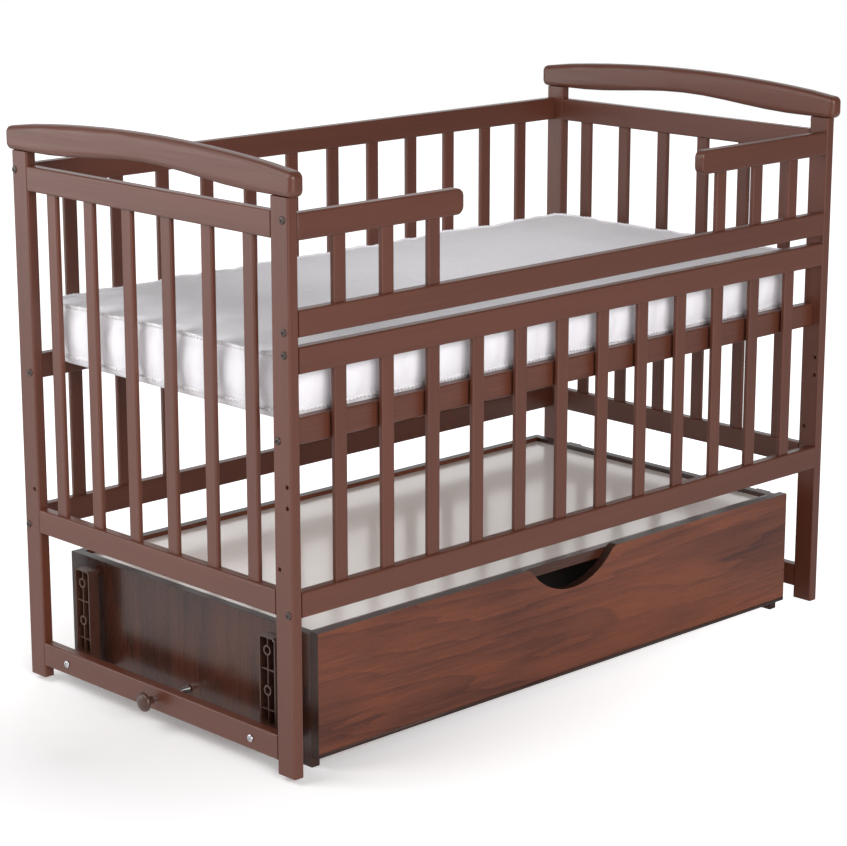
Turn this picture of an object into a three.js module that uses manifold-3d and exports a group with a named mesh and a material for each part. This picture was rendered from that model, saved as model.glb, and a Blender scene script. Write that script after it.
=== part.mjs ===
// Baby crib hung on four pendulum arms from a drawer cabinet that stands on the floor.
// Millimetres, +Z up. X runs along the bed, -Y is the open side with the guard and the drawer.
// The origin is on the floor, under the middle of the crib.

import * as THREE from 'three';
import { mergeVertices } from 'three/addons/utils/BufferGeometryUtils.js';
import Module from 'manifold-3d';

const wasm = await Module();
wasm.setup();

// ---------- driving dimensions ----------

const GAP = 0.3;                 // joint between two pieces that touch on the real crib

// crib frame
const LENGTH = 1250;             // over the outer faces of the end posts
const WIDTH = 664;               // over the front and rear faces of the posts
const LEG_CLEAR = 10;            // the crib hangs, so its legs stay off the floor
const POST_TOP = 882;
const POST_W = 39;               // across the crib, along Y
const TIMBER_T = 18.5;           // thickness of posts and rails
const TIMBER_R = 3;              // rounding of timber edges
const RAIL_H = 40;

const UPPER_RAIL_DROP = 22;      // post top to the top edge of the end and rear upper rails
const BOTTOM_RAIL_Z = 278;       // middle of the lower rails
const FOOT_RAIL_Z = 50.5;        // middle of the foot rails
const GUARD_STEP = 1.5;          // guard below the rear upper rail
const GUARD_H = 140;             // between the middles of the guard's two rails
const GUARD_SPACE = 14;          // between the guard and the front upper rail

const SLAT_W = 25;
const SLAT_T = 9;
const SLAT_R = 2.8;
const SLAT_PITCH = 95;
const SLAT_FROM_POST = 40;       // least space between the last slat and a post
const GUARD_SLATS = 3;           // in each short guard
const GUARD_TAIL = 44.8;         // upper guard rail past its last slat
const GUARD_END_R = 13;
const TENON = 10;                // how far a slat is sunk into the rail it is made with

// arched cap boards
const CAP_T = 25;
const CAP_OVERHANG = 13;         // past the post faces, each end
const CAP_END_H = 38;
const CAP_RISE = 20;             // rise of the top edge at mid width
const CAP_LIFT = 15;             // lift of the lower edge at mid width
const CAP_SEAT = 33;             // level part of the lower edge inside each post
const CAP_R = 11;                // rounding of the ends, side view
const CAP_EDGE_R = 8;            // rounding of the long edges

// bolt holes left free in the posts
const HOLE_R = 3.6;
const SPARE_FRONT_DROP = 217.5;  // free hole below the middle of the front upper rail
const SPARE_GUARD_DROP = 239.5;  // free hole below the middle of the guard's lower rail
const BASE_DROP = 194;           // lower bolt position of the bed base, below the upper one
const BASE_BOLT_DROP = 30;       // bed base bolt below the top of its rail

// bed base and mattress
const BASE_RAIL_TOP = 555;
const BASE_SLATS = 8;
const BASE_SLAT_W = 60;
const BASE_SLAT_T = 9;
const BASE_SLAT_DROP = 12;       // slats lie this far below the rail tops
const MORTISE = 8;
const MATTRESS_T = 100;
const MATTRESS_R = 45;           // corners in plan
const MATTRESS_EDGE_R = 14;
const MATTRESS_FIT = 2.5;        // to each base rail
const MATTRESS_END_FIT = 8.5;    // to each end frame

// cabinet
const BOARD = 16;
const REAR_CLEAR = 10.5;         // cabinet back to the crib's rear side
const CABINET_H = 212;
const TOP_RECESS = 8;
const TOP_T = 4;
const GROOVE = 5;
const FRONT_RAIL_H = 16;
const BOTTOM_Z = 10;             // underside of the cabinet floor
const RUNNER_W = 20;
const RUNNER_H = 6;

// drawer
const FRONT_Z0 = 20;
const FRONT_ABOVE = 5;           // drawer front above the cabinet
const FRONT_CLEAR = 3.9;         // drawer front to the crib's front side
const DRAWER_SIDE_GAP = 13;
const DRAWER_HEADROOM = 35.4;    // drawer box to the front rail above it
const DRAWER_WALL = 12;
const DRAWER_BACK_GAP = 26;
const DRAWER_BOTTOM_T = 6;
const CUT_DEPTH = 51;            // finger cut-out in the drawer front
const CUT_R = 123;
const CUT_FILLET = 22;

// pendulum arms
const ARM_FROM_POST = 62;        // post's inner face to the middle of the arm, along Y
const ARM_W = 37;
const ARM_T = 19;
const ARM_CLEAR_IN = 14;         // arm to the cabinet side
const ARM_CLEAR_OUT = 16.5;      // arm to the end frame
const PIVOT_DROP = 18;           // pivot below the cabinet's top edge
const ARM_CROWN = 8;             // arm above its pivot
const ARM_POCKET = 12;
const ARM_WALL = 2.6;
const ARM_RIB = 2;
const ARM_RINGS = [86, 22];      // below the arm's top
const ARM_RIBS = [117, 53];
const ARM_RING_R = 8.5;
const ARM_RING_BORE = 5.5;
const ARM_FOOT = 13;             // solid foot of the arm, above the screw
const SCREW_DROP = 1.5;          // screw below the middle of the foot rail
const SCREW_R = 3;
const SCREW_HEAD_R = 6.2;
const SCREW_HEAD_H = 2.6;
const PIVOT_R = 4.3;
const PIVOT_FIT = 0.35;
const BOSS_R = 9;

// lock pins
const LOCK_R = 3;
const LOCK_FIT = 0.4;
const LOCK_FLARE_R = 6.5;
const LOCK_FLARE_L = 21;
const LOCK_CLEAR = 1.5;          // flared end to the cabinet side
const KNOB_R = 15.5;
const KNOB_NECK_R = 6.5;
const KNOB_STAND = 6;            // knob neck to the foot rail
const KNOB_NECK_L = 13;
const KNOB_HEAD_L = 11;

// ---------- materials ----------

const paint = (name, color, roughness, metalness = 0) =>
  Object.assign(new THREE.MeshStandardMaterial({ color, roughness, metalness }), { name });
const WOOD = paint('brown_stained_wood', 0x5e3a30, 0.42);
const LAMINATE = paint('walnut_laminate', 0x5a3228, 0.35);
const WHITE_BOARD = paint('white_fibreboard', 0xdcd5d2, 0.4);
const DRAWER_BOARD = paint('pale_drawer_board', 0xcfc4b8, 0.55);
const PLY = paint('base_slat_birch', 0xc9a77a, 0.6);
const FABRIC = paint('mattress_cover', 0xe9e6ea, 0.9);
const PLASTIC = paint('brown_plastic', 0x4a342d, 0.45);
const STEEL = paint('zinc_plated_steel', 0xb9bcc0, 0.3, 1);

// ---------- derived places ----------

const POST_X = LENGTH / 2 - TIMBER_T / 2;
const INNER_X = LENGTH / 2 - TIMBER_T;
const POST_Y = WIDTH / 2 - POST_W / 2;
const SIDE_Y = WIDTH / 2 - TIMBER_T / 2;
const BETWEEN_POSTS_Y = WIDTH - 2 * POST_W;
const UPPER_RAIL_Z = POST_TOP - UPPER_RAIL_DROP - RAIL_H / 2;
const GUARD_TOP_Z = UPPER_RAIL_Z - GUARD_STEP;
const GUARD_BOTTOM_Z = GUARD_TOP_Z - GUARD_H;
const FRONT_TOP_Z = GUARD_BOTTOM_Z - RAIL_H - GUARD_SPACE;
const BASE_Y = WIDTH / 2 - TIMBER_T - GAP - TIMBER_T / 2;
const BASE_INNER_Y = BASE_Y - TIMBER_T / 2;
const SLAT_TOP = BASE_RAIL_TOP - BASE_SLAT_DROP;
const BASE_BOLT_Z = BASE_RAIL_TOP - BASE_BOLT_DROP;
const FRONT_Y = FRONT_CLEAR + BOARD / 2 - (WIDTH / 2 - TIMBER_T);
const CABINET_FRONT = FRONT_Y + BOARD / 2 + GAP;
const CABINET_REAR = WIDTH / 2 - TIMBER_T - REAR_CLEAR;
const CABINET_X = INNER_X - ARM_CLEAR_OUT - ARM_T - ARM_CLEAR_IN;
const ARM_X = CABINET_X + ARM_CLEAR_IN + ARM_T / 2;
const ARM_Y = WIDTH / 2 - POST_W - ARM_FROM_POST;
const ARM_PIVOT_Z = CABINET_H - PIVOT_DROP;
const ARM_TOP = ARM_PIVOT_Z + ARM_CROWN;
const SCREW_Z = FOOT_RAIL_Z - SCREW_DROP;
const ARM_SOLID_TOP = SCREW_Z + ARM_FOOT;
const SCREW_END = ARM_X - 5;
const LOCK_Z = FOOT_RAIL_Z;
const TOP_Z = CABINET_H - TOP_RECESS;
const RUNNER_TOP = BOTTOM_Z + BOARD + GAP + RUNNER_H;
const DRAWER_X = CABINET_X - BOARD - DRAWER_SIDE_GAP;
const DRAWER_REAR = CABINET_REAR - BOARD - DRAWER_BACK_GAP;
const DRAWER_Z0 = RUNNER_TOP + GAP;
const DRAWER_H = CABINET_H - FRONT_RAIL_H - DRAWER_HEADROOM - DRAWER_Z0;
const FRONT_Z1 = CABINET_H + FRONT_ABOVE;

// ---------- solid helpers ----------

const AXES = {
  x: new THREE.Matrix4().makeBasis(vec(0, 1, 0), vec(0, 0, 1), vec(1, 0, 0)),
  y: new THREE.Matrix4().makeBasis(vec(0, 0, 1), vec(1, 0, 0), vec(0, 1, 0)),
  z: new THREE.Matrix4(),
};

function vec(x, y, z) {
  return new THREE.Vector3(x, y, z);
}

function roundedRect(a, b, r) {
  const s = new THREE.Shape();
  s.moveTo(-a / 2 + r, -b / 2);
  s.lineTo(a / 2 - r, -b / 2);
  s.absarc(a / 2 - r, -b / 2 + r, r, -Math.PI / 2, 0, false);
  s.lineTo(a / 2, b / 2 - r);
  s.absarc(a / 2 - r, b / 2 - r, r, 0, Math.PI / 2, false);
  s.lineTo(-a / 2 + r, b / 2);
  s.absarc(-a / 2 + r, b / 2 - r, r, Math.PI / 2, Math.PI, false);
  s.lineTo(-a / 2, -b / 2 + r);
  s.absarc(-a / 2 + r, -b / 2 + r, r, Math.PI, 1.5 * Math.PI, false);
  return s;
}

// Extrudes a shape centred on its length. Its first axis then lies along the next axis after `axis`
// (x: Y and Z, y: Z and X, z: X and Y).
function extrude(axis, shape, length, segments = 3, bevel = null) {
  const depth = bevel ? length - 2 * bevel : length;
  const options = bevel
    ? { bevelEnabled: true, bevelSize: bevel, bevelThickness: bevel, bevelOffset: -bevel, bevelSegments: 3 }
    : { bevelEnabled: false };
  const g = new THREE.ExtrudeGeometry(shape, { depth, curveSegments: segments, ...options });
  g.translate(0, 0, -depth / 2);
  g.applyMatrix4(AXES[axis]);
  return g;
}

// A straight timber along `axis` with rounded long edges. a and b are its cross-section, in the
// order that extrude() gives.
function timber(axis, length, a, b, r = TIMBER_R) {
  return extrude(axis, roundedRect(a, b, r), length);
}

function rod(axis, length, r, segments = 24, rEnd = r) {
  const g = new THREE.CylinderGeometry(rEnd, r, length, segments);
  g.rotateX(Math.PI / 2);
  g.applyMatrix4(AXES[axis]);
  return g;
}

function box(dx, dy, dz) {
  return new THREE.BoxGeometry(dx, dy, dz);
}

function at(g, x, y, z) {
  g.translate(x, y, z);
  return g;
}

function solid(g) {
  const bare = g.clone();
  bare.deleteAttribute('normal');
  bare.deleteAttribute('uv');
  const m = mergeVertices(bare, 1e-4);
  return new wasm.Manifold(
    new wasm.Mesh({
      numProp: 3,
      vertProperties: new Float32Array(m.attributes.position.array),
      triVerts: new Uint32Array(m.index.array),
    }),
  );
}

function geometry(m) {
  const mesh = m.getMesh();
  const g = new THREE.BufferGeometry();
  g.setAttribute('position', new THREE.BufferAttribute(new Float32Array(mesh.vertProperties), 3));
  g.setIndex(new THREE.BufferAttribute(new Uint32Array(mesh.triVerts), 1));
  g.computeVertexNormals();
  return g;
}

function cut(body, ...tools) {
  return geometry(tools.reduce((a, t) => a.subtract(solid(t)), solid(body)));
}

function join(...bodies) {
  return geometry(bodies.slice(1).reduce((a, b) => a.add(solid(b)), solid(bodies[0])));
}

const crib = new THREE.Group();
crib.name = 'crib';

function place(name, g, material, x = 0, y = 0, z = 0, parent = crib) {
  const mesh = new THREE.Mesh(g, material);
  mesh.name = name;
  mesh.position.set(x, y, z);
  parent.add(mesh);
  return mesh;
}

const ENDS = [['left', -1], ['right', 1]];
const SIDES = [['front', -1], ['rear', 1]];

function centred(count, pitch) {
  return Array.from({ length: count }, (_, i) => (i - (count - 1) / 2) * pitch);
}

// Middles of as many slats as fit between two posts `space` apart.
function slatPlaces(space) {
  const count = Math.floor((space - 2 * SLAT_FROM_POST - SLAT_W) / SLAT_PITCH) + 1;
  return centred(count, SLAT_PITCH);
}

// ---------- slatted panels ----------

// A rail with upright slats grown into its top edge, as one piece. The slats stop GAP short of the
// rail above.
function slattedRail(axis, railLength, positions, railZ, upperRailZ) {
  const slatTop = upperRailZ - RAIL_H / 2 - GAP - railZ;
  const slatFoot = RAIL_H / 2 - TENON;
  const slatL = slatTop - slatFoot;
  const [a, b] = axis === 'x' ? [TIMBER_T, RAIL_H] : [RAIL_H, TIMBER_T];
  const rail = timber(axis, railLength, a, b);
  const slats = positions.map((p) => {
    const [w, t] = axis === 'x' ? [SLAT_W, SLAT_T] : [SLAT_T, SLAT_W];
    const g = timber('z', slatL, w, t, SLAT_R);
    const z = slatFoot + slatL / 2;
    return axis === 'x' ? at(g, p, 0, z) : at(g, 0, p, z);
  });
  return join(rail, ...slats);
}

const sideRailL = 2 * INNER_X - 2 * GAP;
const endRailL = BETWEEN_POSTS_Y - 2 * GAP;
const sideSlats = slatPlaces(2 * INNER_X);
const endSlats = slatPlaces(BETWEEN_POSTS_Y);
const guardSlats = [...sideSlats.slice(0, GUARD_SLATS), ...sideSlats.slice(-GUARD_SLATS)];
const guardFreeX = sideSlats.at(-GUARD_SLATS) - SLAT_W / 2 - GUARD_TAIL;
const guardRailL = INNER_X - GAP - guardFreeX;

// ---------- end frames ----------

function capShape() {
  const half = WIDTH / 2 + CAP_OVERHANG;
  const top = (y) => CAP_END_H + CAP_RISE * (1 - (y / half) ** 2);
  const liftHalf = WIDTH / 2 - POST_W - CAP_SEAT;
  const low = (y) => {
    const t = Math.min(Math.abs(y) / liftHalf, 1);
    return (CAP_LIFT * (1 + Math.cos(Math.PI * t))) / 2;
  };
  const s = new THREE.Shape();
  const steps = 14;
  const inner = half - CAP_R;
  s.moveTo(-inner, low(-inner));
  for (let i = 1; i <= steps; i++) {
    const y = -inner + (2 * inner * i) / steps;
    s.lineTo(y, low(y));
  }
  s.absarc(inner, CAP_R, CAP_R, -Math.PI / 2, 0, false);
  s.lineTo(half, top(half) - CAP_R);
  s.absarc(inner, top(half) - CAP_R, CAP_R, 0, Math.PI / 2, false);
  for (let i = 1; i < steps; i++) {
    const y = inner - (2 * inner * i) / steps;
    s.lineTo(y, top(y));
  }
  s.lineTo(-inner, top(half));
  s.absarc(-inner, top(half) - CAP_R, CAP_R, Math.PI / 2, Math.PI, false);
  s.lineTo(-half, CAP_R);
  s.absarc(-inner, CAP_R, CAP_R, Math.PI, 1.5 * Math.PI, false);
  return s;
}

const postTop = POST_TOP - GAP;
const postL = postTop - LEG_CLEAR;
const postMidZ = (postTop + LEG_CLEAR) / 2;

for (const [end, sx] of ENDS) {
  for (const [side, sy] of SIDES) {
    const holes = [[sy * (BASE_Y - POST_Y), BASE_BOLT_Z - BASE_DROP]];
    if (side === 'front') {
      const spare = [FRONT_TOP_Z - SPARE_FRONT_DROP, GUARD_BOTTOM_Z - SPARE_GUARD_DROP];
      holes.push(...spare.map((z) => [sy * (SIDE_Y - POST_Y), z]));
    }
    const drills = holes.map(([y, z]) => at(rod('x', TIMBER_T * 2, HOLE_R, 16), 0, y, z - postMidZ));
    place(
      `post_${side}_${end}`,
      cut(timber('z', postL, TIMBER_T, POST_W), ...drills),
      WOOD, sx * POST_X, sy * POST_Y, postMidZ,
    );
  }
  place(`cap_${end}`, extrude('x', capShape(), CAP_T, 4, CAP_EDGE_R), WOOD, sx * POST_X, 0, POST_TOP);
  place(`end_upper_rail_${end}`, timber('y', endRailL, RAIL_H, TIMBER_T), WOOD, sx * POST_X, 0, UPPER_RAIL_Z);
  place(
    `end_slats_with_lower_rail_${end}`,
    slattedRail('y', endRailL, endSlats, BOTTOM_RAIL_Z, UPPER_RAIL_Z),
    WOOD, sx * POST_X, 0, BOTTOM_RAIL_Z,
  );
  const footHoles = SIDES.map(([, sy]) =>
    at(rod('x', TIMBER_T * 2, SCREW_R + PIVOT_FIT, 20), 0, sy * ARM_Y, SCREW_Z - FOOT_RAIL_Z));
  footHoles.push(at(rod('x', TIMBER_T * 2, LOCK_R + LOCK_FIT, 20), 0, 0, LOCK_Z - FOOT_RAIL_Z));
  place(
    `foot_rail_${end}`,
    cut(timber('y', endRailL, RAIL_H, TIMBER_T), ...footHoles),
    WOOD, sx * POST_X, 0, FOOT_RAIL_Z,
  );
}

// ---------- rear and front panels ----------

place(
  'rear_slats_with_lower_rail',
  slattedRail('x', sideRailL, sideSlats, BOTTOM_RAIL_Z, UPPER_RAIL_Z),
  WOOD, 0, SIDE_Y, BOTTOM_RAIL_Z,
);
place('rear_top_rail', timber('x', sideRailL, TIMBER_T, RAIL_H), WOOD, 0, SIDE_Y, UPPER_RAIL_Z);
place(
  'front_slats_with_lower_rail',
  slattedRail('x', sideRailL, sideSlats, BOTTOM_RAIL_Z, FRONT_TOP_Z),
  WOOD, 0, -SIDE_Y, BOTTOM_RAIL_Z,
);
place('front_top_rail', timber('x', sideRailL, TIMBER_T, RAIL_H), WOOD, 0, -SIDE_Y, FRONT_TOP_Z);
place(
  'guard_slats_with_lower_rail',
  slattedRail('x', sideRailL, guardSlats, GUARD_BOTTOM_Z, GUARD_TOP_Z),
  WOOD, 0, -SIDE_Y, GUARD_BOTTOM_Z,
);

// A short guard rail: square at the post, rounded at its free end.
function guardStub(sx) {
  const half = guardRailL / 2;
  const h = RAIL_H / 2;
  const free = half - GUARD_END_R;
  const s = new THREE.Shape();
  s.moveTo(-half, -h);
  s.lineTo(free, -h);
  s.absarc(free, -h + GUARD_END_R, GUARD_END_R, -Math.PI / 2, 0, false);
  s.lineTo(half, h - GUARD_END_R);
  s.absarc(free, h - GUARD_END_R, GUARD_END_R, 0, Math.PI / 2, false);
  s.lineTo(-half, h);
  const g = new THREE.ExtrudeGeometry(s, {
    depth: TIMBER_T - 2 * TIMBER_R,
    curveSegments: 4,
    bevelEnabled: true,
    bevelSize: TIMBER_R,
    bevelThickness: TIMBER_R,
    bevelOffset: -TIMBER_R,
    bevelSegments: 3,
  });
  g.translate(0, 0, -(TIMBER_T - 2 * TIMBER_R) / 2);
  g.rotateX(Math.PI / 2);
  if (sx > 0) {
    g.rotateZ(Math.PI);
  }
  return g;
}

for (const [end, sx] of ENDS) {
  const x = sx * (INNER_X - GAP - guardRailL / 2);
  place(`guard_top_rail_${end}`, guardStub(sx), WOOD, x, -SIDE_Y, GUARD_TOP_Z);
}

// ---------- bed base and mattress ----------

const baseSlatX = centred(BASE_SLATS, (2 * INNER_X) / BASE_SLATS);
const baseSlatZ = SLAT_TOP - BASE_SLAT_T / 2;
const baseRailZ = BASE_RAIL_TOP - RAIL_H / 2;

for (const [side, sy] of SIDES) {
  const mortises = baseSlatX.map((x) =>
    at(
      box(BASE_SLAT_W + 2 * GAP, 2 * MORTISE, BASE_SLAT_T + 2 * GAP),
      x, -sy * (TIMBER_T / 2), baseSlatZ - baseRailZ,
    ));
  place(
    `base_rail_${side}`,
    cut(timber('x', sideRailL, TIMBER_T, RAIL_H), ...mortises),
    WOOD, 0, sy * BASE_Y, baseRailZ,
  );
}
const baseSlatL = 2 * (BASE_INNER_Y + MORTISE - GAP);
baseSlatX.forEach((x, i) => {
  place(`base_slat_${i + 1}`, box(BASE_SLAT_W, baseSlatL, BASE_SLAT_T), PLY, x, 0, baseSlatZ);
});

const mattressL = 2 * (INNER_X - MATTRESS_END_FIT);
const mattressW = 2 * (BASE_INNER_Y - MATTRESS_FIT);
place(
  'mattress',
  extrude('z', roundedRect(mattressL, mattressW, MATTRESS_R), MATTRESS_T, 6, MATTRESS_EDGE_R),
  FABRIC, 0, 0, SLAT_TOP + GAP + MATTRESS_T / 2,
);

// ---------- cabinet ----------

const cabinetD = CABINET_REAR - CABINET_FRONT;
const cabinetMidY = (CABINET_REAR + CABINET_FRONT) / 2;
const insideX = CABINET_X - BOARD;
const topGrooveZ = TOP_Z - TOP_T / 2;
const grooveH = TOP_T + 2 * GAP;
const insideRear = CABINET_REAR - BOARD;
const insideFront = CABINET_FRONT + BOARD;
const insideD = insideRear - insideFront;
const insideMidY = (insideRear + insideFront) / 2;

for (const [end, sx] of ENDS) {
  const groove = at(
    box(2 * GROOVE, cabinetD * 2, grooveH),
    -sx * (BOARD / 2), 0, topGrooveZ - CABINET_H / 2,
  );
  const sockets = SIDES.map(([, sy]) =>
    at(rod('x', BOARD, PIVOT_R + GAP, 20), sx * (BOARD / 2), sy * ARM_Y - cabinetMidY, ARM_PIVOT_Z - CABINET_H / 2));
  place(
    `cabinet_side_${end}`,
    cut(box(BOARD, cabinetD, CABINET_H), groove, ...sockets),
    LAMINATE, sx * (CABINET_X - BOARD / 2), cabinetMidY, CABINET_H / 2,
  );
}
const acrossX = 2 * (insideX - GAP);
const edgeGroove = (sy, h) =>
  at(box(acrossX * 2, 2 * GROOVE, grooveH), 0, sy * (BOARD / 2), h);
const backH = CABINET_H - BOTTOM_Z;
place(
  'cabinet_back',
  cut(box(acrossX, BOARD, backH), edgeGroove(-1, topGrooveZ - (BOTTOM_Z + backH / 2))),
  LAMINATE, 0, CABINET_REAR - BOARD / 2, BOTTOM_Z + backH / 2,
);
const frontRailZ = CABINET_H - FRONT_RAIL_H / 2;
place(
  'cabinet_front_rail',
  cut(box(acrossX, BOARD, FRONT_RAIL_H), edgeGroove(1, topGrooveZ - frontRailZ)),
  LAMINATE, 0, CABINET_FRONT + BOARD / 2, frontRailZ,
);
place(
  'cabinet_top',
  box(2 * (insideX + GROOVE - GAP), insideD + 2 * (GROOVE - GAP), TOP_T),
  WHITE_BOARD, 0, insideMidY, topGrooveZ,
);
const floorD = insideRear - GAP - CABINET_FRONT;
place(
  'cabinet_floor',
  box(acrossX, floorD, BOARD),
  LAMINATE, 0, CABINET_FRONT + floorD / 2, BOTTOM_Z + BOARD / 2,
);
for (const [end, sx] of ENDS) {
  place(
    `drawer_runner_${end}`,
    box(RUNNER_W, insideD, RUNNER_H),
    PLASTIC, sx * (DRAWER_X - RUNNER_W / 2), insideMidY, RUNNER_TOP - RUNNER_H / 2,
  );
}

// ---------- drawer ----------

// Front board with a scooped finger cut-out in its top edge, filleted into the edge.
function drawerFrontShape() {
  const h = (FRONT_Z1 - FRONT_Z0) / 2;
  const centreZ = h - CUT_DEPTH + CUT_R;
  const reach = Math.sqrt((CUT_R + CUT_FILLET) ** 2 - (centreZ - (h - CUT_FILLET)) ** 2);
  const filletZ = h - CUT_FILLET;
  const turn = Math.atan2(filletZ - centreZ, reach);
  const s = new THREE.Shape();
  s.moveTo(-CABINET_X, -h);
  s.lineTo(CABINET_X, -h);
  s.lineTo(CABINET_X, h);
  s.lineTo(reach, h);
  s.absarc(reach, filletZ, CUT_FILLET, Math.PI / 2, Math.PI + turn, false);
  s.absarc(0, centreZ, CUT_R, turn, -Math.PI - turn, true);
  s.absarc(-reach, filletZ, CUT_FILLET, -turn, Math.PI / 2, false);
  s.lineTo(-CABINET_X, h);
  return s;
}

const drawerFront = new THREE.ExtrudeGeometry(drawerFrontShape(), {
  depth: BOARD,
  curveSegments: 14,
  bevelEnabled: false,
});
drawerFront.translate(0, 0, -BOARD / 2);
drawerFront.rotateX(Math.PI / 2);
place('drawer_front', drawerFront, LAMINATE, 0, FRONT_Y, (FRONT_Z0 + FRONT_Z1) / 2);

const drawerY0 = CABINET_FRONT;
const drawerD = DRAWER_REAR - drawerY0;
const drawerMidY = (DRAWER_REAR + drawerY0) / 2;
const bottomGroove = (dx, dy, x, y) =>
  at(box(dx, dy, DRAWER_BOTTOM_T + 2 * GAP), x, y, DRAWER_BOTTOM_T * 1.5 - DRAWER_H / 2);
for (const [end, sx] of ENDS) {
  place(
    `drawer_side_${end}`,
    cut(box(DRAWER_WALL, drawerD, DRAWER_H), bottomGroove(DRAWER_WALL, drawerD * 2, -sx * (DRAWER_WALL / 2 + 0.5), 0)),
    DRAWER_BOARD, sx * (DRAWER_X - DRAWER_WALL / 2), drawerMidY, DRAWER_Z0 + DRAWER_H / 2,
  );
}
const drawerInX = DRAWER_X - DRAWER_WALL;
place(
  'drawer_back',
  cut(
    box(2 * (drawerInX - GAP), DRAWER_WALL, DRAWER_H),
    bottomGroove(drawerInX * 4, DRAWER_WALL, 0, -(DRAWER_WALL / 2 + 0.5)),
  ),
  DRAWER_BOARD, 0, DRAWER_REAR - DRAWER_WALL / 2, DRAWER_Z0 + DRAWER_H / 2,
);
const bottomRear = DRAWER_REAR - DRAWER_WALL / 2 - 2;
place(
  'drawer_bottom',
  box(2 * (drawerInX + DRAWER_WALL / 2 - 2), bottomRear - drawerY0, DRAWER_BOTTOM_T),
  WHITE_BOARD, 0, (bottomRear + drawerY0) / 2, DRAWER_Z0 + DRAWER_BOTTOM_T * 1.5,
);

// ---------- pendulum arms ----------

// Moulded arm, open on its outer face: walls, cross ribs and two ring bosses over a back web, a
// solid foot with a boss that meets the foot rail, and a round boss behind its pivot.
function armGeometry(sx) {
  const low = SCREW_Z - ARM_W / 2;
  const mid = (ARM_TOP + low) / 2;
  const outline = roundedRect(ARM_W, ARM_TOP - low, 6);
  const body = extrude('x', outline, ARM_T, 4);
  const pocketTop = ARM_TOP - ARM_WALL;
  const pocketH = pocketTop - ARM_SOLID_TOP;
  const outer = sx * (ARM_T / 2);
  const depthAt = (d) => outer - (sx * d) / 2;
  const pocket = at(
    extrude('x', roundedRect(ARM_W - 2 * ARM_WALL, pocketH, 4), ARM_POCKET * 1.02, 3),
    depthAt(ARM_POCKET) + sx * ARM_POCKET * 0.01, 0, (pocketTop + ARM_SOLID_TOP) / 2 - mid,
  );
  let arm = solid(body).subtract(solid(pocket));
  const fill = (g) => {
    arm = arm.add(solid(g));
  };
  const ribT = ARM_POCKET - 1;
  const ribX = outer - sx * (1 + ribT / 2 + 0.5);
  for (const drop of ARM_RIBS) {
    fill(at(box(ribT, ARM_W - ARM_WALL, ARM_RIB), ribX, 0, ARM_TOP - drop - mid));
  }
  fill(at(box(ribT, ARM_RIB, pocketH + ARM_WALL), ribX, 0, (pocketTop + ARM_SOLID_TOP) / 2 - mid));
  for (const drop of ARM_RINGS) {
    const z = ARM_TOP - drop;
    fill(at(rod('x', ARM_POCKET, ARM_RING_R, 24), depthAt(ARM_POCKET), 0, z - mid));
    arm = arm.subtract(solid(at(rod('x', ARM_POCKET * 1.6, ARM_RING_BORE, 20), outer, 0, z - mid)));
  }
  const footBossL = INNER_X - GAP - (ARM_X + ARM_T / 2);
  fill(at(rod('x', footBossL + 2, BOSS_R), outer + sx * (footBossL / 2 - 1), 0, SCREW_Z - mid));
  const backBossL = ARM_X - ARM_T / 2 - CABINET_X - GAP;
  fill(at(rod('x', backBossL + 2, PIVOT_R + 3.2), -outer - sx * (backBossL / 2 - 1), 0, ARM_PIVOT_Z - mid));
  const screwL = INNER_X - SCREW_END + 4;
  arm = arm.subtract(solid(
    at(rod('x', screwL, SCREW_R + PIVOT_FIT, 20), sx * (SCREW_END - 2 + screwL / 2 - ARM_X), 0, SCREW_Z - mid)));
  const boreL = backBossL + (ARM_T - ARM_POCKET) + 4;
  arm = arm.subtract(solid(
    at(rod('x', boreL, PIVOT_R + PIVOT_FIT, 20), -outer - sx * (backBossL - boreL / 2 + 2), 0, ARM_PIVOT_Z - mid)));
  return [geometry(arm), mid];
}

const pinIn = CABINET_X - BOARD / 2 + 1;
const pinOut = ARM_X - ARM_T / 2 + (ARM_T - ARM_POCKET) - 1;
for (const [end, sx] of ENDS) {
  const [arm, mid] = armGeometry(sx);
  for (const [side, sy] of SIDES) {
    const name = `${side}_${end}`;
    place(`arm_${name}`, arm.clone(), PLASTIC, sx * ARM_X, sy * ARM_Y, mid);
    place(
      `pivot_pin_${name}`,
      rod('x', pinOut - pinIn, PIVOT_R, 20),
      STEEL, sx * ((pinOut + pinIn) / 2), sy * ARM_Y, ARM_PIVOT_Z,
    );
    const headOut = LENGTH / 2 + GAP + SCREW_HEAD_H;
    const shaft = rod('x', headOut - 1 - SCREW_END, SCREW_R, 20);
    const head = at(
      rod('x', SCREW_HEAD_H, SCREW_HEAD_R, 24),
      sx * ((headOut - 1 - SCREW_END) / 2 + 1 - SCREW_HEAD_H / 2), 0, 0,
    );
    place(
      `pivot_screw_${name}`,
      join(shaft, head),
      STEEL, sx * ((headOut - 1 + SCREW_END) / 2), sy * ARM_Y, SCREW_Z,
    );
  }
}

// ---------- lock pins ----------

function lathe(profile, sx, segments = 28) {
  const g = new THREE.LatheGeometry(profile.map(([r, x]) => new THREE.Vector2(r, x)), segments);
  g.rotateZ(-Math.PI / 2);
  if (sx < 0) {
    g.rotateZ(Math.PI);
  }
  return g;
}

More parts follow.
